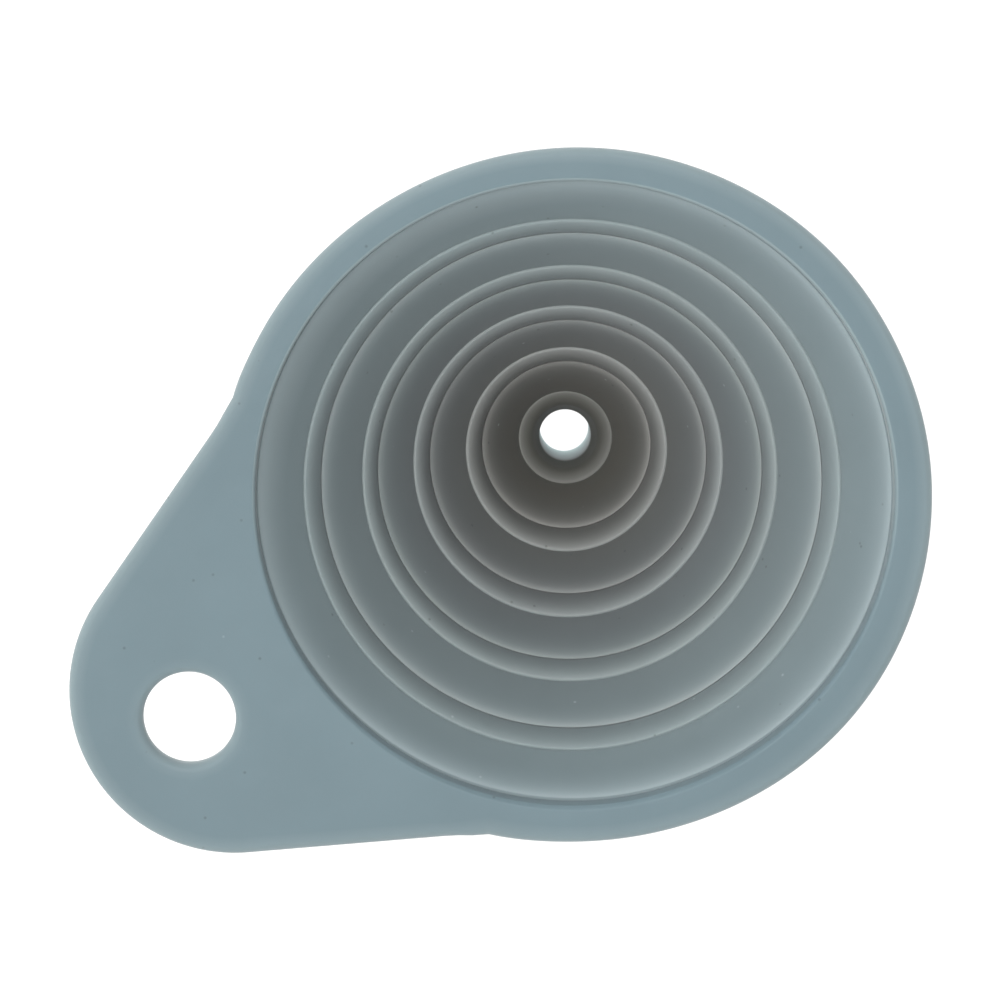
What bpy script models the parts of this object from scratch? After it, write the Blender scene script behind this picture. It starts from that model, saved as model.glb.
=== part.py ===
"""Folding silicone funnel with a hanging tab, opened out to its full height.

One moulding, modelled as the sections that its fold lines divide it into: a
flat rim plate with a teardrop tab, five stiff wall rings, four thin webs that
turn inside out when the funnel is pushed flat, and a short spout.

Metres, +Z up along the funnel's axis, mouth up.  The origin is the centre of
the spout's open end.  The tab points along +X.  Radii and depths in the tables
below are in millimetres; a depth is measured down from the rim's top face.
"""

import math

import bmesh
import bpy
from mathutils import Vector

MM = 0.001

# ---------------------------------------------------------------- dimensions
HEIGHT = 70.0            # rim top face to spout tip, opened out
RIM_R = 45.0             # outer radius of the rim
MOUTH_R = 40.3           # radius of the mouth, the rim's inner wall
PLATE_T = 3.0            # thickness of the rim and the tab
EDGE_R = 1.1             # rounding of the rim's and the tab's outer edges

TAB_END_X = 71.8         # furthest point of the tab from the axis
TAB_END_R = 21.2         # radius of the tab's round end
TAB_HALF_ANGLE = 25.1    # degrees, each straight side against the tab's axis
TAB_BLEND_R = 9.0        # fillet where a straight side runs into the rim
HOLE_X = 57.0            # centre of the hanging hole
HOLE_R = 5.9
HOLE_EDGE_R = 1.0

# Each ring is a cone from its rounded lip (top) to its foot (bottom).
LIP_R = (39.95, 32.75, 25.7, 19.0, 11.9)
LIP_DEPTH = (3.1, 13.7, 24.7, 37.5, 50.2)
FOOT_R = (34.8, 27.8, 21.3, 14.3, 6.75)
FOOT_DEPTH = (9.4, 20.8, 32.6, 45.2, 58.0)
WALL_RADIAL = 2.2        # ring wall, measured along the radius
LIP_ROUND = 1.9          # rounding of a lip's inner shoulder

WEB_RADIAL = 0.95        # web wall, measured along the radius
NOTCH_R = 0.45           # lip to the web's inner face, along the radius
NOTCH_DEPTH = 1.0        # lip to the web's lower end, down the axis
GAP = 0.3                # between neighbouring sections

BORE_TOP_R = 3.77        # spout bore where the mouth cone ends
BORE_TOP_DEPTH = 60.4
BORE_TIP_R = 3.6
SPOUT_TIP_R = 5.4        # outer radius at the tip
SPOUT_NECK_R = 5.7       # outer radius under the last ring
SPOUT_NECK_DEPTH = 62.4

STEPS = 60               # facets round the axis

# ------------------------------------------------------------------ helpers


def clear_scene():
    for obj in list(bpy.data.objects):
        bpy.data.objects.remove(obj, do_unlink=True)


def material(name, colour, roughness):
    made = bpy.data.materials.new(name)
    made.use_nodes = True
    shader = made.node_tree.nodes["Principled BSDF"]
    shader.inputs["Base Color"].default_value = (*colour, 1.0)
    shader.inputs["Roughness"].default_value = roughness
    shader.inputs["Metallic"].default_value = 0.0
    return made


def z_of(depth):
    return (HEIGHT - depth) * MM


def arc(centre, radius, start, end, steps):
    """Points of an arc in the plane, angles in degrees, both ends included."""
    points = []
    for i in range(steps + 1):
        a = math.radians(start + (end - start) * i / steps)
        points.append((centre[0] + radius * math.cos(a), centre[1] + radius * math.sin(a)))
    return points


def finish_mesh(name, bm, shade, sharp=40.0):
    bmesh.ops.recalc_face_normals(bm, faces=bm.faces)
    mesh = bpy.data.meshes.new(name)
    bm.to_mesh(mesh)
    bm.free()
    mesh.shade_smooth()
    mesh.set_sharp_from_angle(angle=math.radians(sharp))
    obj = bpy.data.objects.new(name, mesh)
    bpy.context.scene.collection.objects.link(obj)
    if shade:
        mesh.materials.append(shade)
    return obj


def turned(name, profile, shade, parent=None, steps=STEPS):
    """A closed profile of (radius, depth) points, spun round the funnel's axis."""
    bm = bmesh.new()
    verts = [bm.verts.new((r * MM, 0.0, z_of(d))) for r, d in profile]
    edges = [bm.edges.new((verts[i], verts[(i + 1) % len(verts)])) for i in range(len(verts))]
    bmesh.ops.spin(
        bm,
        geom=verts + edges,
        cent=(0, 0, 0),
        axis=(0, 0, 1),
        dvec=(0, 0, 0),
        angle=2 * math.pi,
        steps=steps,
        use_merge=True,
        use_duplicate=False,
    )
    bmesh.ops.remove_doubles(bm, verts=bm.verts, dist=1e-6)
    obj = finish_mesh(name, bm, shade)
    if parent:
        obj.parent = parent
    return obj


def joint_empty(name, depth, parent=None):
    """An empty on the funnel's axis: everything below it slides along that axis."""
    empty = bpy.data.objects.new(name, None)
    bpy.context.scene.collection.objects.link(empty)
    empty.empty_display_size = 0.01
    if parent:
        empty.parent = parent
    return empty


# ---------------------------------------------------------- rim plate outline


def plate_outline(inset):
    """Rim circle and teardrop tab as one outline, moved inward by inset.

    Each straight side is tangent to the tab's end circle, and a small fillet
    eases it into the rim.  Anticlockwise, seen from above.
    """
    a = math.radians(TAB_HALF_ANGLE)
    end_c = TAB_END_X - TAB_END_R
    nx, ny = math.sin(a), math.cos(a)            # normal of the +Y straight side
    offset = end_c * nx + TAB_END_R              # the side is nx*x + ny*y = offset
    # Fillet circle: outside the rim circle and outside the straight side.
    d_line = offset + TAB_BLEND_R
    d_rim = RIM_R + TAB_BLEND_R
    along = math.sqrt(d_rim**2 - d_line**2)       # along the side, towards the tab's end
    fx = nx * d_line + ny * along
    fy = ny * d_line - nx * along
    end_r = TAB_END_R - inset
    rim_r = RIM_R - inset
    blend_r = TAB_BLEND_R + inset
    half = 90.0 - TAB_HALF_ANGLE
    meet = math.degrees(math.atan2(fy, fx))       # where the fillet leaves the rim
    points = arc((end_c, 0.0), end_r, -half, half, 14)
    # The fillet runs from the straight side back to the rim circle.
    points += arc((fx, fy), blend_r, half + 180.0, meet + 180.0, 3)
    rim_steps = round((360.0 - 2 * meet) / (360.0 / STEPS))
    points += arc((0.0, 0.0), rim_r, meet, 360.0 - meet, rim_steps)[1:-1]
    points += arc((fx, -fy), blend_r, 180.0 - meet, 180.0 - half, 3)
    return points


def plate(name, shade):
    """The outline lofted through a rounded edge, then opened for mouth and hole."""
    rows = []
    for angle in (90.0, 60.0, 30.0, 0.0):
        t = math.radians(angle)
        rows.append((EDGE_R * (1 - math.cos(t)), EDGE_R * (1 - math.sin(t))))
    levels = rows + [(inset, PLATE_T - depth) for inset, depth in reversed(rows)]
    bm = bmesh.new()
    loops = []
    for inset, depth in levels:
        loops.append([bm.verts.new((x * MM, y * MM, z_of(depth))) for x, y in plate_outline(inset)])
    for upper, lower in zip(loops, loops[1:]):
        n = len(upper)
        for i in range(n):
            bm.faces.new((upper[i], lower[i], lower[(i + 1) % n], upper[(i + 1) % n]))
    bm.faces.new(loops[0])
    bm.faces.new(list(reversed(loops[-1])))
    obj = finish_mesh(name, bm, shade, 30.0)
    for label, x, radius, flare, steps in (
        ("mouth", 0.0, MOUTH_R, 0.25, STEPS),
        ("hole", HOLE_X, HOLE_R, HOLE_EDGE_R, 32),
    ):
        cutter = hole_cutter(f"{name}_{label}_cutter", x, radius, flare, steps)
        cut = obj.modifiers.new(label, "BOOLEAN")
        cut.operation = "DIFFERENCE"
        cut.solver = "EXACT"
        cut.object = cutter
    return obj


def hole_cutter(name, x, radius, flare, steps):
    """A pin whose waist opens out at the plate's faces, so the hole's edges are rounded."""
    over = 1.0
    profile = [(0.0, -over), (radius + flare, -over), (radius + flare, 0.0)]
    for i in range(1, 4):
        t = math.radians(30.0 * i)
        profile.append((radius + flare * (1 - math.sin(t)), flare * (1 - math.cos(t))))
    for i in range(3, 0, -1):
        t = math.radians(30.0 * i)
        profile.append((radius + flare * (1 - math.sin(t)), PLATE_T - flare * (1 - math.cos(t))))
    profile += [(radius + flare, PLATE_T), (radius + flare, PLATE_T + over), (0.0, PLATE_T + over)]
    bm = bmesh.new()
    verts = [bm.verts.new((r * MM, 0.0, z_of(d))) for r, d in profile]
    edges = [bm.edges.new(pair) for pair in zip(verts, verts[1:])]
    bmesh.ops.spin(
        bm, geom=verts + edges, cent=(0, 0, 0), axis=(0, 0, 1), dvec=(0, 0, 0),
        angle=2 * math.pi, steps=steps, use_merge=True, use_duplicate=False,
    )
    bmesh.ops.remove_doubles(bm, verts=bm.verts, dist=1e-6)
    for v in bm.verts:
        v.co += Vector((x * MM, 0.0, 0.0))
    cutter = finish_mesh(name, bm, None)
    cutter.hide_render = True
    cutter.display_type = "WIRE"
    return cutter


# ------------------------------------------------------------- wall sections


def shoulder(lip_r, lip_depth, slope, steps=3):
    """Points from a lip's crest round its inner shoulder on to the cone below.

    slope is the cone's angle from the axis, in degrees; the arc turns from
    level at the crest to the cone's own slope.
    """
    cx, cd = lip_r - 0.0, lip_depth + LIP_ROUND
    points = []
    for i in range(steps + 1):
        t = math.radians(90.0 - (90.0 - slope) * i / steps)
        points.append((cx - LIP_ROUND * math.cos(t), cd - LIP_ROUND * math.sin(t)))
    return points


def ring_profile(index):
    """Closed (radius, depth) profile of one stiff ring, crest first, then down its inner side."""
    lip_r, lip_d = LIP_R[index], LIP_DEPTH[index]
    foot_r, foot_d = FOOT_R[index], FOOT_DEPTH[index]
    slope = math.degrees(math.atan2(lip_r - foot_r, foot_d - lip_d))
    crest_r = lip_r - 0.1
    profile = shoulder(crest_r, lip_d, slope)
    profile.append((foot_r + 0.1, foot_d))
    profile.append((foot_r + WALL_RADIAL, foot_d))
    if index == 0:
        # The first ring hangs under the rim plate.
        profile.append((lip_r + 2.6, PLATE_T + GAP + 1.0))
        profile.append((lip_r + 2.6, PLATE_T + GAP))
        profile.append((lip_r + 0.15, PLATE_T + GAP))
    else:
        ledge = lip_d + NOTCH_DEPTH + GAP
        profile.append((lip_r + NOTCH_R + WEB_RADIAL, ledge))
        profile.append((lip_r + NOTCH_R - GAP, ledge))
        profile.append((lip_r + NOTCH_R - GAP, lip_d + 0.35))
    return profile


def web_profile(index):
    """Closed profile of the thin web from ring index's foot to the next ring's ledge."""
    top_r, top_d = FOOT_R[index], FOOT_DEPTH[index] + GAP
    low_r, low_d = LIP_R[index + 1] + NOTCH_R, LIP_DEPTH[index + 1] + NOTCH_DEPTH
    mid_r, mid_d = (top_r + low_r) / 2 - 0.12, (top_d + low_d) / 2
    return [
        (top_r, top_d),
        (mid_r, mid_d),
        (low_r, low_d),
        (low_r + WEB_RADIAL, low_d),
        (mid_r + WEB_RADIAL, mid_d),
        (top_r + WEB_RADIAL, top_d),
    ]


def spout_profile():
    top = FOOT_DEPTH[-1] + GAP
    lip = FOOT_R[-1]
    # The mouth of the bore is a rounded funnel: a quarter of an ellipse.
    mouth = []
    for i in range(5):
        t = math.radians(22.5 * i)
        mouth.append((
            BORE_TOP_R + (lip - 0.1 - BORE_TOP_R) * (1 - math.sin(t)),
            top + (BORE_TOP_DEPTH - top) * (1 - math.cos(t)),
        ))
    return mouth + [
        (BORE_TIP_R, HEIGHT),
        (SPOUT_TIP_R - 0.3, HEIGHT),
        (SPOUT_TIP_R, HEIGHT - 0.3),
        (SPOUT_NECK_R, SPOUT_NECK_DEPTH),
        (lip + 1.7, top),
    ]


# -------------------------------------------------------------------- build


def main():
    clear_scene()
    rim = material("silicone_rim", (0.22, 0.30, 0.33), 0.55)
    wall = material("silicone_wall", (0.20, 0.25, 0.26), 0.58)
    web = material("silicone_web", (0.25, 0.31, 0.32), 0.55)
    tip = material("silicone_spout", (0.17, 0.18, 0.17), 0.58)

    # The spout and the last ring stand still; each further ring slides on the
    # one inside it, and the rim with the first ring slides last.
    axis_5 = joint_empty("spout_section", FOOT_DEPTH[4])
    axis_4 = joint_empty("fold_4_axis", FOOT_DEPTH[3], axis_5)
    axis_3 = joint_empty("fold_3_axis", FOOT_DEPTH[2], axis_4)
    axis_2 = joint_empty("fold_2_axis", FOOT_DEPTH[1], axis_3)
    axis_1 = joint_empty("fold_1_axis", FOOT_DEPTH[0], axis_2)

    turned("spout", spout_profile(), tip, axis_5, 48)
    for index, parent in enumerate((axis_1, axis_2, axis_3, axis_4, axis_5)):
        turned(f"wall_ring_{index + 1}", ring_profile(index), wall, parent)
    for index, parent in enumerate((axis_2, axis_3, axis_4, axis_5)):
        turned(f"fold_web_{index + 1}", web_profile(index), web, parent)
    top = plate("rim_with_hanging_tab", rim)
    top.parent = axis_1
    for cutter in [o for o in bpy.data.objects if o.name.endswith("_cutter")]:
        cutter.parent = axis_1


main()
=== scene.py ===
import math

import bpy
from mathutils import Matrix, Vector
from mathutils.kdtree import KDTree


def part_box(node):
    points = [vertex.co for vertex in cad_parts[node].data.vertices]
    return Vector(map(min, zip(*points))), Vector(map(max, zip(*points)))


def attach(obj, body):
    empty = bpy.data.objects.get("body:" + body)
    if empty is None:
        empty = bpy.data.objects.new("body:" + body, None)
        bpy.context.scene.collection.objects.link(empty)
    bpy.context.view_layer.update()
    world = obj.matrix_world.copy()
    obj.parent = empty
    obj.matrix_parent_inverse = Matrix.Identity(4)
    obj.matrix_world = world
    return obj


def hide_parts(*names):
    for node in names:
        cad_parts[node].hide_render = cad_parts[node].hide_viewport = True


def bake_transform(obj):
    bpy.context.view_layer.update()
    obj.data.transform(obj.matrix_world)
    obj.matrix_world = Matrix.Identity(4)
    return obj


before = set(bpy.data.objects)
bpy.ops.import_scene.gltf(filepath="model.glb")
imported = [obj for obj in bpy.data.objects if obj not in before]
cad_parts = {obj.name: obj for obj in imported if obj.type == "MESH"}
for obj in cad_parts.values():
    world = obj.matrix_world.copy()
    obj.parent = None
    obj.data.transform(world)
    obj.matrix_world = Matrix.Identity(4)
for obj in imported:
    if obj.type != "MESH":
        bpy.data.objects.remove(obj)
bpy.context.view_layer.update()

MM = 0.001
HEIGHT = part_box("rim_with_hanging_tab")[1].z / MM     # rim top above the spout's tip
PLATE_T = 3.0
RIM_R = 45.0
MOUTH_R = 40.3
MOUTH_FLARE = 0.5
EDGE_R = 1.1
EDGE_BAND = 2.3
TAB_END_X, TAB_END_R, TAB_HALF_ANGLE, TAB_BLEND_R = 71.8, 21.2, 25.1, 1.4
HOLE_X, HOLE_R, HOLE_EDGE_R, HOLE_BAND = 57.2, 6.0, 1.1, 1.0

# Radii and depths in millimetres; a depth is measured down from the rim's top.
LIP_R = (40.12, 32.8, 25.8, 19.1, 11.95)
LIP_D = (2.9, 13.7, 24.7, 37.5, 50.2)
FOOT_R = (34.7, 27.85, 21.35, 14.3, 6.65)
FOOT_D = (9.4, 20.8, 32.6, 45.2, 58.0)
LIP_ROUND, LIP_FLAT = 2.4, 0.28           # how far the lip's curve reaches, and its slope at the top
LIP_HIGHLIGHT_FADE = (3.3, 2.6, 2.6, 2.5, 2.8)     # how far down its cone a lip's painted highlight fades
SEGMENTS = 288


# ------------------------------------------------------------------- profiles

def rounded(corners, step=0.45):
    """A closed profile from corners (radius, depth, fillet, fillet steps), its straight
    runs divided and held by a short piece at each end, so that it shades cleanly."""
    n = len(corners)
    arcs = []
    for i, corner in enumerate(corners):
        p = Vector(corner[:2])
        fillet = corner[2] if len(corner) > 2 else 0.0
        steps = corner[3] if len(corner) > 3 else 5
        a = (Vector(corners[i - 1][:2]) - p)
        b = (Vector(corners[(i + 1) % n][:2]) - p)
        la, lb = a.length, b.length
        a.normalize(); b.normalize()
        if fillet <= 0:
            arcs.append([p])
            continue
        half = a.angle(b) / 2
        reach = fillet / math.tan(half)
        limit = 0.49 * min(la, lb)
        if reach > limit:
            reach = limit
            fillet = reach * math.tan(half)
        centre = p + (a + b).normalized() * (fillet / math.sin(half))
        s, e = p + a * reach - centre, p + b * reach - centre
        total = math.atan2(s.x * e.y - s.y * e.x, s.dot(e))
        made = []
        for k in range(steps + 1):
            t = total * k / steps
            made.append(centre + Vector((s.x * math.cos(t) - s.y * math.sin(t),
                                         s.x * math.sin(t) + s.y * math.cos(t))))
        arcs.append(made)
    points = []
    for i, made in enumerate(arcs):
        points += made
        p, q = made[-1], arcs[(i + 1) % n][0]
        run = (q - p).length
        if run > 0.25:
            hold = min(0.08, run / 4)
            inner = max(1, round((run - 2 * hold) / step))
            for k in range(inner + 1):
                points.append(p.lerp(q, (hold + (run - 2 * hold) * k / inner) / run))
    return [(v.x, v.y) for v in points]


def ease(a, b, x):
    t = max(0.0, min(1.0, (x - a) / (b - a)))
    return t * t * (3 - 2 * t)


# The moulding is soft, so its rim isn't quite round: it stands out a little on one
# side and its edge is drawn in a little on another.
OUT_SIDE = Vector((-0.8688, 0.4951))
IN_SIDE = Vector((-0.4948, -0.8690))


def fold_share(depth):
    """1 at the top edge of each lower web, 0 at the lips: those folds sit a little oval."""
    for k in (1, 2, 3):
        if LIP_D[k] < depth <= FOOT_D[k]:
            return ease(LIP_D[k], FOOT_D[k], depth)
        if FOOT_D[k] < depth < LIP_D[k + 1]:
            return 1 - ease(FOOT_D[k], LIP_D[k + 1], depth)
    return 0.0


def settle(x, y, depth):
    r = math.hypot(x, y)
    a = (x * OUT_SIDE.x + y * OUT_SIDE.y) / RIM_R
    b = (x * IN_SIDE.x + y * IN_SIDE.y) / RIM_R
    out = 0.6 * (1 - ease(3.2, 9.4, depth)) * ease(0.1, 1.0, a) * ease(30.0, 36.0, r)
    draw = 0.45 * ease(0.1, 1.0, b) * ease(40.8, 45.0, r) * (1 - ease(3.0, 3.2, depth))
    out -= 0.25 * (1 - ease(3.2, 9.4, depth)) * ease(0.1, 1.0, -a) * ease(30.0, 36.0, r) * (1 - ease(41.5, 44.0, r))
    draw -= 0.40 * ease(0.1, 1.0, -b) * (1 - ease(3.2, 9.4, depth)) * ease(34.0, 38.0, r) * (1 - ease(40.2, 40.4, r))
    edge = ease(41.8, 44.5, r)
    swing = ease(28.0, 34.0, x) * edge              # the tab stands a little askew
    turn = math.degrees(math.atan2(y, x))           # and pulls the rim out where it joins it
    pull = 0.34 * math.exp(-((turn - 46) / 10) ** 2) + 0.30 * math.exp(-((turn + 45) / 6.5) ** 2)
    pull *= 1 - ease(45.2, 47.0, r)
    pull += 0.52 * math.exp(-((turn - 110) / 30) ** 2) - 0.27 * math.exp(-((turn + 95) / 28) ** 2)
    pull -= 0.23 * math.exp(-(((turn - 176 + 180) % 360 - 180) / 16) ** 2)
    pull *= edge / max(r, 1.0)
    across = (x * OUT_SIDE.x + y * OUT_SIDE.y) / max(r, 1.0)
    out -= fold_share(depth) * across * (0.45 if across > 0 else 0.28)
    return (x + OUT_SIDE.x * out - IN_SIDE.x * draw - 0.13 * swing + x * pull,
            y + OUT_SIDE.y * out - IN_SIDE.y * draw + 0.0075 * x * swing + y * pull)


def mark(mesh, lips, depths, insides):
    """Per-vertex marks for the materials: nearness to a moulded lip, which weights the
    painted highlight, depth at rest, and whether the skin faces into the bowl."""
    mesh.attributes.new("lip", "FLOAT", "POINT").data.foreach_set("value", lips)
    mesh.attributes.new("inside", "FLOAT", "POINT").data.foreach_set("value", insides)
    mesh.attributes.new("below", "FLOAT", "POINT").data.foreach_set("value", [d / HEIGHT for d in depths])


def highlight_side(x, y):
    """1 on the side of the funnel where its edges get a stronger painted highlight, 0 on the other."""
    return 1.0 - ease(-0.4, 0.5, (x * 0.489 + y * 0.859) / max(math.hypot(x, y), 1e-6))


def turned(name, profile, material, lip, inside, side_highlight=0.0, segments=SEGMENTS):
    """The closed profile spun round the axis, as one closed mesh with its faces out."""
    area = 0.0
    for (r0, d0), (r1, d1) in zip(profile, profile[1:] + profile[:1]):
        area += r0 * d1 - r1 * d0
    if area < 0:
        profile = list(reversed(profile))
    n = len(profile)
    verts, faces, lips, depths, insides = [], [], [], [], []
    marks = [(lip(r, d), inside(r, d)) for r, d in profile]
    for s in range(segments):
        a = 2 * math.pi * s / segments
        c, si = math.cos(a), math.sin(a)
        for (r, d), m in zip(profile, marks):
            x, y = settle(r * c, r * si, d)
            verts.append((x * MM, y * MM, (HEIGHT - d) * MM))
            # Painted highlight: on one side of the funnel the lip marks are raised, so the lips there are painted
            # paler.
            paler = side_highlight * highlight_side(c, si) * ease(-0.5, 0.5, c * 0.869 - si * 0.495)
            lips.append(m[0] ** (1.0 / (1.0 + paler)))
            insides.append(m[1])
            depths.append(d)
    for s in range(segments):
        u, v = s * n, ((s + 1) % segments) * n
        for k in range(n):
            m = (k + 1) % n
            faces.append((u + k, u + m, v + m, v + k))
    mesh = bpy.data.meshes.new(name)
    mesh.from_pydata(verts, [], faces)
    mark(mesh, lips, depths, insides)
    mesh.update()
    mesh.shade_smooth()
    made = bpy.data.objects.new(name, mesh)
    bpy.context.scene.collection.objects.link(made)
    mesh.materials.append(material)
    return made


def ring_lip(k):
    """Weight of the painted highlight near ring k's lip: 1 at the lip, fading down the first part of its cone."""
    lr, ld, fr, fd = LIP_R[k], LIP_D[k], FOOT_R[k], FOOT_D[k]

    def value(r, d):
        line = lr + (fr - lr) * (d - ld) / (fd - ld)
        if r - line > 0.95 or d > fd + 0.2:
            return 0.0
        if r > lr:
            return 1.0 if k else 0.6
        down = lr - r
        return 0.72 * max(0.0, 1.0 - down / LIP_HIGHLIGHT_FADE[k]) ** 2.0 + 0.28 * max(0.0, 1.0 - down / 0.8)
    return value


def web_lip(k):
    """Weight of the painted highlight near web k's top edge: 1 at the edge, fading steadily down to its foot."""
    fr, fd, lr, ld = FOOT_R[k], FOOT_D[k], LIP_R[k + 1], LIP_D[k + 1]

    def value(r, d):
        down = (d - fd) / (ld - fd)
        line = fr + (lr - fr) * down
        if r - line > 0.8 or down > 1.0:
            return 0.0
        return max(0.0, min(1.0, 1.0 - (fr - r) / (fr - lr - 0.1))) ** 1.2
    return value


def ring_inside(k):
    lr, ld, fr, fd = LIP_R[k], LIP_D[k], FOOT_R[k], FOOT_D[k]

    def value(r, d):
        line = lr + (fr - lr) * max(0.0, min(1.0, (d - ld) / (fd - ld)))
        return 1.0 - ease(0.6, 1.1, r - line)
    return value


def web_inside(k):
    inner = web_fall(k)

    def value(r, d):
        near = min(inner, key=lambda p: abs(p[1] - d))
        return 1.0 - ease(0.35, 0.75, r - near[0])
    return value


def spout_inside(r, d):
    if d > FOOT_D[4]:
        return 1.0 if r < max(4.4, 6.95 - 0.7 * (d - FOOT_D[4])) else 0.0
    return ring_inside(4)(r, d)


def spout_lip(r, d):
    """The painted highlight on the last ring's lip, and on the rounded lip where the spout's bore opens."""
    if d > LIP_D[4] + 1.0 and r > LIP_R[4] + (FOOT_R[4] - LIP_R[4]) * (d - LIP_D[4]) / (FOOT_D[4] - LIP_D[4]) + 0.95:
        return 0.0
    if r > FOOT_R[4] + 0.1:
        return ring_lip(4)(r, d) if d < FOOT_D[4] + 0.1 else 0.0
    return max(0.0, min(1.0, (r - 4.5) / 2.15)) ** 3.4 if d < FOOT_D[4] + 3.0 else 0.0


def inner_fall(k, clear):
    """The inside of a stiff ring: it leaves its lip almost level and steepens smoothly
    into a straight cone, which stops a little short of the fold below it."""
    lr, ld, fr, fd = LIP_R[k], LIP_D[k], FOOT_R[k], FOOT_D[k]
    reach, drop = lr - fr - clear, fd - 0.02 - ld
    share = LIP_ROUND / 3.2
    steep = (drop - LIP_FLAT * share) / (reach - share)
    points = []
    for i in range(27):
        x = reach * (i / 26.0) ** 1.5
        turn = share * (1 - max(0.0, 1 - x / LIP_ROUND) ** 3.2)
        points.append((lr - x, ld + steep * x - (steep - LIP_FLAT) * turn, 0.0))
    return points


def ring_corners(k):
    """A stiff ring: a soft lip, the cone below it, and its outer side."""
    lr, ld, fr, fd = LIP_R[k], LIP_D[k], FOOT_R[k], FOOT_D[k]
    corners = [(lr + 0.05, ld + 0.02, 0.0)] + inner_fall(k, 0.27) + [
        (fr + 0.29, fd + 0.06, 0.0),
        (fr + 2.3, fd + 0.06, 0.6, 6),
    ]
    if k == 0:
        corners += [
            (43.0, PLATE_T + 0.05, 1.3, 6),
            (44.0, PLATE_T - 0.5, 0.0),
            (41.2, PLATE_T - 0.5, 0.0),
            (41.0, ld + 0.05, 0.0),
            (lr + 0.27, ld + 0.05, 0.0),
            (lr + 0.12, ld + 0.04, 0.0),
        ]
    else:
        corners += [
            (lr + 1.42, ld + 1.5, 0.35, 5),
            (lr + 1.25, ld + 0.16, 0.2, 3),
            (lr + 0.09, ld + 0.16, 0.0),
            (lr + 0.07, ld + 0.06, 0.0),
        ]
    return corners


def web_fall(k):
    """The inside of the web under ring k: a convex fall from its top edge, steepening
    down to the crease behind the next ring's lip."""
    fr, fd, lr, ld = FOOT_R[k], FOOT_D[k], LIP_R[k + 1], LIP_D[k + 1]
    foot_r, foot_d = lr + 0.11, ld + 0.12
    wide, tall = fr - foot_r, foot_d - fd
    steps = 30
    inner = []
    for i in range(1, steps + 1):
        u = i / steps
        t = math.pi / 2 * u
        line_r, line_d = fr - wide * u, fd + tall * u
        arc_r, arc_d = fr - wide * math.sin(t), foot_d - tall * math.cos(t)
        inner.append((line_r * 0.35 + arc_r * 0.65, line_d * 0.35 + arc_d * 0.65))
    return inner


def web_profile(k):
    """The thin web under ring k: a narrow ledge at the ring's foot, and the fall below."""
    fr, fd, lr, ld = FOOT_R[k], FOOT_D[k], LIP_R[k + 1], LIP_D[k + 1]
    foot_r, foot_d = lr + 0.11, ld + 0.12
    inner = web_fall(k)
    top = [(fr + 0.36, fd + 0.10), (fr + 0.24, fd + 0.09), (fr + 0.16, fd + 0.06), (fr + 0.09, fd + 0.03), (fr + 0.03, fd + 0.008)]
    outer = [(r + 0.95, d) for r, d in inner if d > fd + 0.2]
    profile = [(fr + 0.93, fd + 0.10), (fr + 0.6, fd + 0.10)] + top + inner
    profile += [(foot_r + 0.05, foot_d + 0.01), (foot_r + 0.45, foot_d + 0.01)]
    profile += list(reversed(outer))
    return profile


def spout_corners():
    """The last ring and the spout as one turned body."""
    lr, ld, fr, fd = LIP_R[4], LIP_D[4], FOOT_R[4], FOOT_D[4]
    return [(lr + 0.05, ld + 0.02, 0.0)] + inner_fall(4, 0.22) + [
        (fr + 0.14, fd + 0.14, 0.06, 2),
        (fr - 0.05, fd + 0.0, 0.12, 4),
        (fr - 1.75, fd + 0.45, 1.6, 8),
        (3.75, 60.7, 1.2, 6),
        (3.6, HEIGHT, 0.25, 4),
        (5.4, HEIGHT, 0.45, 5),
        (5.75, 62.6, 2.2, 8),
        (8.9, 58.2, 2.0, 6),
        (lr + 1.42, ld + 1.5, 0.35, 5),
        (lr + 1.25, ld + 0.16, 0.2, 3),
        (lr + 0.09, ld + 0.16, 0.0),
        (lr + 0.07, ld + 0.06, 0.0),
    ]


# ------------------------------------------------------------------ rim plate

def arc(centre, radius, start, end, steps):
    return [(centre[0] + radius * math.cos(math.radians(start + (end - start) * i / steps)),
             centre[1] + radius * math.sin(math.radians(start + (end - start) * i / steps)))
            for i in range(steps + 1)]


def plate_outline(inset):
    a = math.radians(TAB_HALF_ANGLE)
    end_c = TAB_END_X - TAB_END_R
    nx, ny = math.sin(a), math.cos(a)
    offset = end_c * nx + TAB_END_R
    d_line, d_rim = offset + TAB_BLEND_R, RIM_R + TAB_BLEND_R
    along = math.sqrt(d_rim ** 2 - d_line ** 2)
    fx, fy = nx * d_line + ny * along, ny * d_line - nx * along
    half = 90.0 - TAB_HALF_ANGLE
    meet = math.degrees(math.atan2(fy, fx))
    tip = arc((end_c, 0.0), TAB_END_R - inset, -half, half, 72)
    left = arc((fx, fy), TAB_BLEND_R + inset, half + 180.0, meet + 180.0, 10)
    back = arc((0.0, 0.0), RIM_R - inset, meet, 360.0 - meet, 260)[1:-1]
    right = arc((fx, -fy), TAB_BLEND_R + inset, 180.0 - meet, 180.0 - half, 10)
    side = 16
    sides_1 = [tuple(Vector(tip[-1]).lerp(Vector(left[0]), i / side)) for i in range(1, side)]
    sides_2 = [tuple(Vector(right[-1]).lerp(Vector(tip[0]), i / side)) for i in range(1, side)]
    return tip + sides_1 + left + back + right + sides_2


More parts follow.
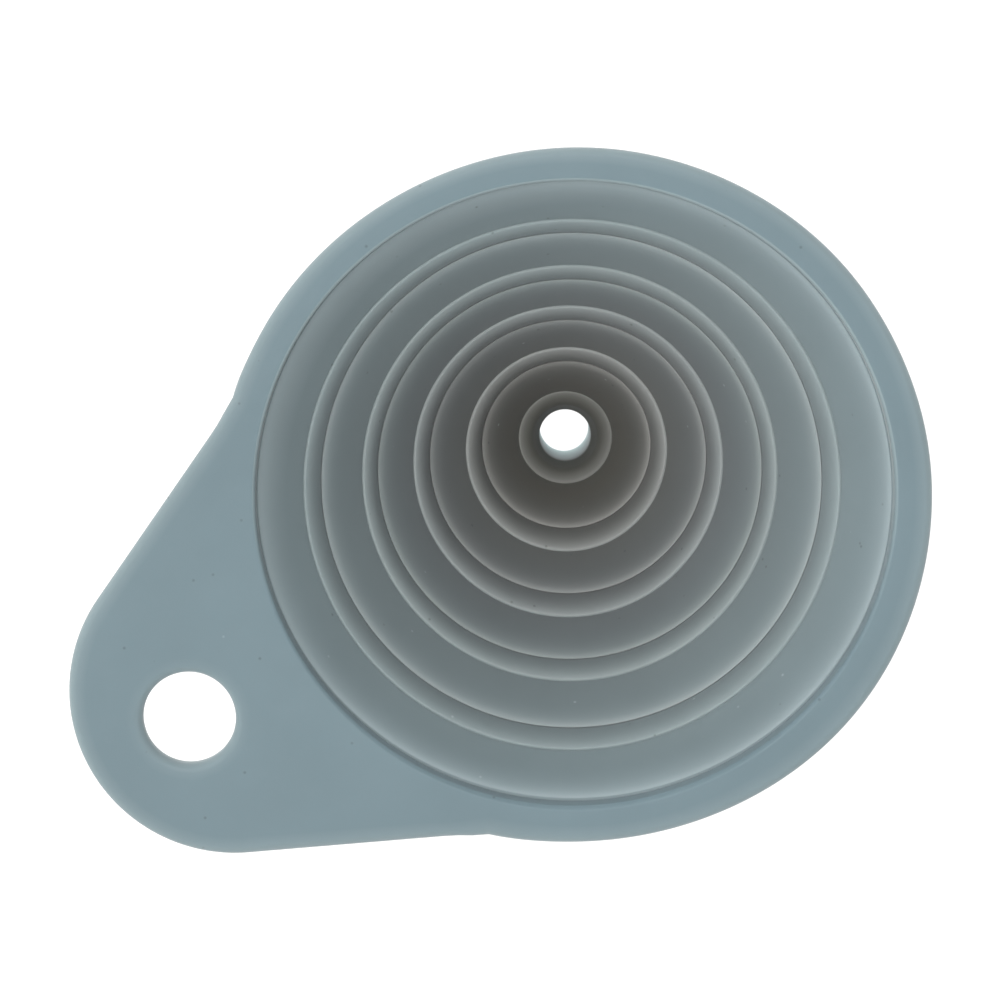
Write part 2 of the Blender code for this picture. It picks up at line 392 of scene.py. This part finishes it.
def cutter(name, x, radius, flare, segments, under=True, band=0.0):
    """A round cutter whose sides flare at the top face and, for a hole open below, at
    the under face too."""
    over = 1.0
    profile = [(radius + flare + band, -over), (radius + flare + band, 0.0)]
    steps = 8
    if band:
        profile.append((radius + flare, 0.03))
    for i in range(2 if band else 1, steps + 1):
        t = math.pi / 2 * i / steps
        profile.append((radius + flare * (1 - math.sin(t)), flare * (1 - math.cos(t))))
    for i in range(steps, 0, -1) if under else []:
        t = math.pi / 2 * i / steps
        profile.append((radius + flare * (1 - math.sin(t)), PLATE_T - flare * (1 - math.cos(t))))
    wide = flare if under else 0.0
    profile += [(radius + wide, PLATE_T), (radius + wide, PLATE_T + over)]
    verts, faces = [], []
    n = len(profile)
    for s in range(segments):
        a = 2 * math.pi * s / segments
        for r, d in profile:
            verts.append(((x + r * math.cos(a)) * MM, r * math.sin(a) * MM, (HEIGHT - d) * MM))
    for s in range(segments):
        u, v = s * n, ((s + 1) % segments) * n
        for k in range(n - 1):
            faces.append((u + k, u + k + 1, v + k + 1, v + k))
    faces.append([s * n for s in range(segments)])
    faces.append([s * n + n - 1 for s in reversed(range(segments))])
    mesh = bpy.data.meshes.new(name)
    mesh.from_pydata(verts, [], faces)
    mesh.update()
    made = bpy.data.objects.new(name, mesh)
    bpy.context.scene.collection.objects.link(made)
    return made


def make_plate(name, material):
    """Rim and tab: one flat plate with rounded edges, opened for the mouth and the hole."""
    steps = 8
    rows = [(EDGE_R * (1 - math.cos(math.pi / 2 * i / steps)), EDGE_R * (1 - math.sin(math.pi / 2 * i / steps)))
            for i in range(steps, -1, -1)]
    levels = [(EDGE_BAND, 0.0)] + rows + [(inset, PLATE_T - depth) for inset, depth in reversed(rows)] + [(EDGE_BAND, PLATE_T)]
    verts, faces = [], []
    for inset, depth in levels:
        loop = plate_outline(inset)
        n = len(loop)
        verts += [(x * MM, y * MM, (HEIGHT - depth) * MM) for x, y in loop]
    for level in range(len(levels) - 1):
        u, v = level * n, (level + 1) * n
        for i in range(n):
            j = (i + 1) % n
            faces.append((u + i, v + i, v + j, u + j))
    faces.append(list(range(n)))
    faces.append(list(reversed(range((len(levels) - 1) * n, len(levels) * n))))
    mesh = bpy.data.meshes.new(name + "_base")
    mesh.from_pydata(verts, [], faces)
    mesh.update()
    base = bpy.data.objects.new(name + "_base", mesh)
    bpy.context.scene.collection.objects.link(base)
    cutters = [cutter("mouth_cut", 0.0, MOUTH_R, MOUTH_FLARE, SEGMENTS, under=False), cutter("hole_cut", HOLE_X, HOLE_R, HOLE_EDGE_R, 128, band=HOLE_BAND)]
    for c in cutters:
        cut = base.modifiers.new(c.name, "BOOLEAN")
        cut.operation, cut.solver, cut.object = "DIFFERENCE", "EXACT", c
    bpy.context.view_layer.update()
    graph = bpy.context.evaluated_depsgraph_get()
    mesh = bpy.data.meshes.new_from_object(base.evaluated_get(graph))
    mesh.name = name
    for o in [base, *cutters]:
        bpy.data.objects.remove(o, do_unlink=True)
    edge = KDTree(4 * len(plate_outline(0.0)))
    loop = plate_outline(0.0)
    for i, p in enumerate(loop):
        q = loop[(i + 1) % len(loop)]
        for j in range(4):
            edge.insert((p[0] + (q[0] - p[0]) * j / 4, p[1] + (q[1] - p[1]) * j / 4, 0.0), 4 * i + j)
    edge.balance()
    # Painted highlight: the plate's rounded outer edge and the hole's edge are marked to be painted paler, the under
    # side less so.
    lips, depths = [], []
    for v in mesh.vertices:
        x, y, d = v.co.x / MM, v.co.y / MM, HEIGHT - v.co.z / MM
        near = max(0.0, 1.0 - edge.find((x, y, 0.0))[2] / EDGE_BAND)
        near = max(near, 0.85 - (math.hypot(x - HOLE_X, y) - HOLE_R) / (HOLE_EDGE_R + HOLE_BAND))
        near = max(0.0, min(1.0, near)) ** 1.6
        if d > 2.1 and math.hypot(x - HOLE_X, y) > HOLE_R + HOLE_EDGE_R + 0.2:
            near *= 0.35
        # Painted highlight on the mouth's flare, on one side of the funnel only.
        if math.hypot(x, y) < MOUTH_R + 0.6 and d > 0.02:
            near = 0.9 * highlight_side(x, y)
        lips.append(near)
        depths.append(d)
        x, y = settle(x, y, d)
        v.co.x, v.co.y = x * MM, y * MM
    mark(mesh, lips, depths, [1.0] * len(lips))
    mesh.shade_smooth()
    mesh.set_sharp_from_angle(angle=math.radians(28))
    made = bpy.data.objects.new(name, mesh)
    bpy.context.scene.collection.objects.link(made)
    mesh.materials.clear()
    mesh.materials.append(material)
    return made


# ------------------------------------------------------------------ materials

def silicone(name, roughness=0.55, subsurface=0.45, body=None, lip=None, outer=None):
    """Matte moulded silicone: soft inner glow, lips and rounded edges painted paler as a
    painted highlight, faint mottling, a fine moulded grain and a few dust specks. body and
    lip map depth below the rim, in millimetres, to colour: the body ramp can hold painted
    shade and the lip ramp is the painted highlight; outer is the colour of the skin that faces outward."""
    mat = bpy.data.materials.new(name)
    mat.use_nodes = True
    nodes, links = mat.node_tree.nodes, mat.node_tree.links
    shader = nodes["Principled BSDF"]
    out = nodes["Material Output"]
    coords = nodes.new("ShaderNodeTexCoord")
    position = coords.outputs["Object"]

    def math_node(op, a, b=None, clamp=False):
        node = nodes.new("ShaderNodeMath")
        node.operation = op
        node.use_clamp = clamp
        for i, v in enumerate((a, b)):
            if v is None:
                continue
            if isinstance(v, (int, float)):
                node.inputs[i].default_value = v
            else:
                links.new(v, node.inputs[i])
        return node.outputs[0]

    def noise(scale, detail, rough):
        node = nodes.new("ShaderNodeTexNoise")
        node.inputs["Scale"].default_value = scale
        node.inputs["Detail"].default_value = detail
        node.inputs["Roughness"].default_value = rough
        links.new(position, node.inputs["Vector"])
        return node.outputs["Fac"]

    def mix(kind, fac, a, b):
        node = nodes.new("ShaderNodeMix")
        node.data_type = "RGBA"
        node.blend_type = kind
        for socket, v in ((node.inputs[0], fac), (node.inputs[6], a), (node.inputs[7], b)):
            if isinstance(v, (int, float)):
                socket.default_value = v
            elif isinstance(v, tuple):
                socket.default_value = (*v, 1.0) if len(v) == 3 else v
            else:
                links.new(v, socket)
        return node.outputs[2]

    def attribute(label):
        node = nodes.new("ShaderNodeAttribute")
        node.attribute_name = label
        return node.outputs["Fac"]

    def bands(steps):
        node = nodes.new("ShaderNodeValToRGB")
        e = node.color_ramp.elements
        e[0].position, e[0].color = steps[0][0] / HEIGHT, (*steps[0][1], 1.0)
        e[1].position, e[1].color = steps[-1][0] / HEIGHT, (*steps[-1][1], 1.0)
        for d, tone in steps[1:-1]:
            e.new(d / HEIGHT).color = (*tone, 1.0)
        links.new(below, node.inputs["Fac"])
        return node.outputs["Color"]

    below = attribute("below")
    # Painted light: the body ramp by depth can hold painted shade, and the lip ramp, mixed in by the lip mark, is a
    # painted highlight.
    colour = mix("MIX", attribute("lip"), bands(body), bands(lip))
    if outer:
        colour = mix("MIX", attribute("inside"), outer, colour)
    # mottling: broad and faint
    broad = math_node("MULTIPLY_ADD", noise(55.0, 3.0, 0.55), 0.16)
    broad.node.inputs[2].default_value = -0.08
    light = math_node("ADD", broad, 1.0)
    tint = nodes.new("ShaderNodeCombineColor")
    for i in range(3):
        links.new(light, tint.inputs[i])
    colour = mix("MULTIPLY", 1.0, colour, tint.outputs[0])
    # dust specks: small, sparse, some darker and some paler
    cells = nodes.new("ShaderNodeTexVoronoi")
    cells.inputs["Scale"].default_value = 420.0
    links.new(position, cells.inputs["Vector"])
    near = math_node("MULTIPLY_ADD", cells.outputs["Distance"], -9.0, clamp=True)
    near.node.inputs[2].default_value = 1.0
    pick = nodes.new("ShaderNodeSeparateColor")
    links.new(cells.outputs["Color"], pick.inputs[0])
    dark = math_node("MULTIPLY", near, math_node("GREATER_THAN", pick.outputs[0], 0.80))
    pale = math_node("MULTIPLY", near, math_node("LESS_THAN", pick.outputs[0], 0.06))
    colour = mix("MIX", math_node("MULTIPLY", dark, 0.6), colour, (0.04, 0.05, 0.05))
    colour = mix("MIX", math_node("MULTIPLY", pale, 0.35), colour, (0.55, 0.60, 0.60))
    links.new(colour, shader.inputs["Base Color"])
    # roughness: a little uneven from handling
    rough = math_node("MULTIPLY_ADD", noise(140.0, 2.0, 0.5), 0.14)
    rough.node.inputs[2].default_value = roughness - 0.07
    links.new(rough, shader.inputs["Roughness"])
    # moulded grain and slight unevenness
    grain = nodes.new("ShaderNodeBump")
    grain.inputs["Strength"].default_value = 0.10
    grain.inputs["Distance"].default_value = 0.00006
    links.new(noise(4200.0, 2.0, 0.6), grain.inputs["Height"])
    swell = nodes.new("ShaderNodeBump")
    swell.inputs["Strength"].default_value = 0.35
    swell.inputs["Distance"].default_value = 0.00025
    links.new(noise(110.0, 2.0, 0.5), swell.inputs["Height"])
    links.new(grain.outputs["Normal"], swell.inputs["Normal"])
    links.new(swell.outputs["Normal"], shader.inputs["Normal"])
    shader.inputs["Subsurface Weight"].default_value = subsurface
    shader.inputs["Subsurface Radius"].default_value = (0.9, 1.0, 1.0)
    shader.inputs["Subsurface Scale"].default_value = 0.0016
    shader.inputs["IOR"].default_value = 1.41
    shader.inputs["Specular IOR Level"].default_value = 0.35
    shader.inputs["Sheen Weight"].default_value = 0.10
    shader.inputs["Sheen Roughness"].default_value = 0.6
    return mat


RIM = [(0.0, (0.125, 0.178, 0.200)), (3.0, (0.125, 0.178, 0.200))]
# Painted highlight on the plate's rounded edges, paler further down the edge and the hole's wall.
RIM_EDGE_HIGHLIGHT = [(0.0, (0.205, 0.256, 0.268)), (0.8, (0.205, 0.256, 0.268)), (1.7, (0.290, 0.345, 0.355))]
# Painted shade: the inside darkens and turns browner towards the bottom of the bowl; then a painted glow lightens the
# spout's bore towards its tip.
BODY_DEPTH_SHADE = [
    (3.0, (0.147, 0.192, 0.207)),
    (10.0, (0.149, 0.189, 0.200)),
    (22.0, (0.142, 0.172, 0.180)),
    (34.0, (0.124, 0.138, 0.143)),
    (46.0, (0.111, 0.116, 0.112)),
    (56.0, (0.080, 0.077, 0.067)),
    (60.5, (0.062, 0.064, 0.058)),
    (63.0, (0.24, 0.31, 0.32)),
    (70.0, (0.40, 0.52, 0.53)),
]
# Painted highlight on the lips and web edges, by depth below the rim.
LIP_HIGHLIGHT = [
    (2.0, (0.250, 0.302, 0.318)),
    (9.4, (0.212, 0.252, 0.258)),
    (13.7, (0.240, 0.275, 0.280)),
    (20.8, (0.225, 0.256, 0.258)),
    (24.7, (0.220, 0.248, 0.247)),
    (32.6, (0.240, 0.260, 0.260)),
    (37.5, (0.225, 0.237, 0.234)),
    (45.2, (0.255, 0.262, 0.256)),
    (50.2, (0.230, 0.230, 0.220)),
    (58.0, (0.172, 0.175, 0.163)),
]

OUTER = (0.130, 0.178, 0.196)

rim_material = silicone("silicone_rim_blue_grey", body=RIM, lip=RIM_EDGE_HIGHLIGHT)
wall_material = silicone("silicone_wall_blue_grey", roughness=0.58, body=BODY_DEPTH_SHADE, lip=LIP_HIGHLIGHT, outer=OUTER)
web_material = silicone("silicone_web_thin", roughness=0.58, subsurface=0.55, body=BODY_DEPTH_SHADE, lip=LIP_HIGHLIGHT, outer=OUTER)


# --------------------------------------------------------------------- pieces

plate = make_plate("rim_and_tab", rim_material)
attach(plate, "rim_section")
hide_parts("rim_with_hanging_tab")

SECTIONS = ("rim_section", "ring_2_section", "ring_3_section", "ring_4_section", "spout_section")
for k in range(4):
    # Ring 1 gets the stronger one-sided painted highlight on its lip.
    ring = turned(f"ring_{k + 1}", rounded(ring_corners(k)), wall_material, ring_lip(k), ring_inside(k), 0.0 if k else 1.4)
    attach(ring, SECTIONS[k])
    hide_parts(f"wall_ring_{k + 1}")

last = turned("ring_5_and_spout", rounded(spout_corners()), wall_material, spout_lip, spout_inside)
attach(last, "spout_section")
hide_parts("wall_ring_5", "spout")

for k in range(4):
    web = turned(f"web_{k + 1}", web_profile(k), web_material, web_lip(k), web_inside(k))
    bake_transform(web)
    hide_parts(f"fold_web_{k + 1}")


# ---------------------------------------------------------------------- stage

def plain(name, colour, roughness):
    mat = bpy.data.materials.new(name)
    mat.use_nodes = True
    shader = mat.node_tree.nodes["Principled BSDF"]
    shader.inputs["Base Color"].default_value = (*colour, 1.0)
    shader.inputs["Roughness"].default_value = roughness
    shader.inputs["Specular IOR Level"].default_value = 0.1
    return mat


floor_mesh = bpy.data.meshes.new("floor")
S, FLOOR_Z = 6.0, -0.13
floor_mesh.from_pydata([(-S, -S, FLOOR_Z), (S, -S, FLOOR_Z), (S, S, FLOOR_Z), (-S, S, FLOOR_Z)], [], [(0, 1, 2, 3)])
floor_mesh.update()
floor = bpy.data.objects.new("floor", floor_mesh)
bpy.context.scene.collection.objects.link(floor)
floor_mesh.materials.append(plain("floor_pale", (0.93, 0.93, 0.93), 0.9))

world = bpy.data.worlds.new("studio")
bpy.context.scene.world = world
world.use_nodes = True
background = world.node_tree.nodes.get("Background") or world.node_tree.nodes.new("ShaderNodeBackground")
background.inputs["Color"].default_value = (1.0, 1.0, 1.0, 1.0)
# Brighter on one side of the room, as by a wide window.
sky, room = world.node_tree.nodes, world.node_tree.links
direction = sky.new("ShaderNodeTexCoord")
side = sky.new("ShaderNodeVectorMath")
side.operation = "DOT_PRODUCT"
side.inputs[1].default_value = (0.78, -0.62, 0.0)
room.new(direction.outputs["Generated"], side.inputs[0])
level = sky.new("ShaderNodeMath")
level.operation = "MULTIPLY_ADD"
level.inputs[1].default_value = 0.46
level.inputs[2].default_value = 1.0
room.new(side.outputs["Value"], level.inputs[0])
room.new(level.outputs[0], background.inputs["Strength"])


def soft_light(name, place, aim, size, power, colour=(1, 1, 1)):
    data = bpy.data.lights.new(name, "AREA")
    data.shape = "DISK"
    data.size = size
    data.energy = power
    data.color = colour
    lamp = bpy.data.objects.new(name, data)
    lamp.location = place
    lamp.rotation_euler = (Vector(aim) - Vector(place)).to_track_quat("-Z", "Y").to_euler()
    bpy.context.scene.collection.objects.link(lamp)
    return lamp


# Camera: 400 mm from the rim, tilted about 9 degrees from the funnel's axis.
camera_data = bpy.data.cameras.new("camera")
camera_data.sensor_fit = "HORIZONTAL"
camera_data.sensor_width = 36.0
camera_data.lens = 113.87
camera_data.clip_start = 0.01
camera_data.clip_end = 50.0
camera = bpy.data.objects.new("camera", camera_data)
bpy.context.scene.collection.objects.link(camera)
right = Vector((-0.86883643, 0.49509418, -0.00223832))
up = Vector((-0.48882684, -0.85853775, -0.15479422))
back = right.cross(up)
place = Vector((-0.02339527, -0.05816168, 0.46708198))
camera.matrix_world = Matrix((
    (right.x, up.x, back.x, place.x),
    (right.y, up.y, back.y, place.y),
    (right.z, up.z, back.z, place.z),
    (0.0, 0.0, 0.0, 1.0),
))
bpy.context.scene.camera = camera

# A large soft light high up, a little to one side.
soft_light("key", -right * 0.16 + up * 0.16 + Vector((0.0, 0.0, 1.0)), (0.0, 0.0, 0.05), 0.6, 6.6, (1.0, 0.995, 0.985))

bpy.context.scene.view_settings.view_transform = "Standard"
bpy.context.scene.view_settings.look = "None"
